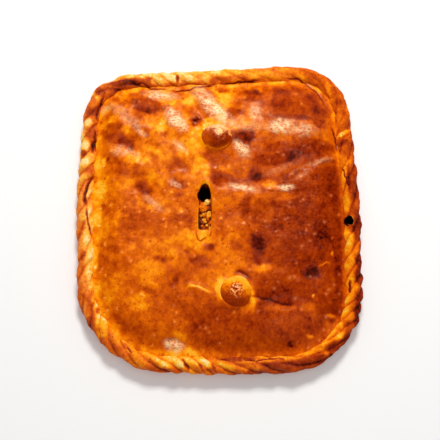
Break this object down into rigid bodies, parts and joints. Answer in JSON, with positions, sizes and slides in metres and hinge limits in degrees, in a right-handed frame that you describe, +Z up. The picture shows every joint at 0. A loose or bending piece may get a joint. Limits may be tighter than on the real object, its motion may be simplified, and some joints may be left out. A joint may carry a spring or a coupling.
{
  "type": "cheese and quince empanada",
  "caption": "Large flat pie of two sheets of glazed dough with a twisted rope edge, a vent slot that shows the filling, and dough buttons on the lid.",
  "frame": {"origin": "centre of the pie's outline, on the surface that it rests on", "axes": "+Z up through the lid, +Y along the longer side towards the far edge, +X towards the right edge"},
  "size_m": [0.2845, 0.3156, 0.0402],
  "materials": {
    "crust": "baked dough brushed with egg, yellow in the folds and brown on the tips",
    "lid": "egg-glazed baked dough, orange with dark brown blisters",
    "filling": "moist melted cheese with pieces of quince paste",
    "buttons": "egg-glazed dough, dark brown on the near side and yellow on the far side"
  },
  "bodies": {
    "root": {"crust": "crust", "lid": "lid", "filling": "filling", "button_far": "buttons", "button_near": "buttons"}
  },
  "joints": []
}
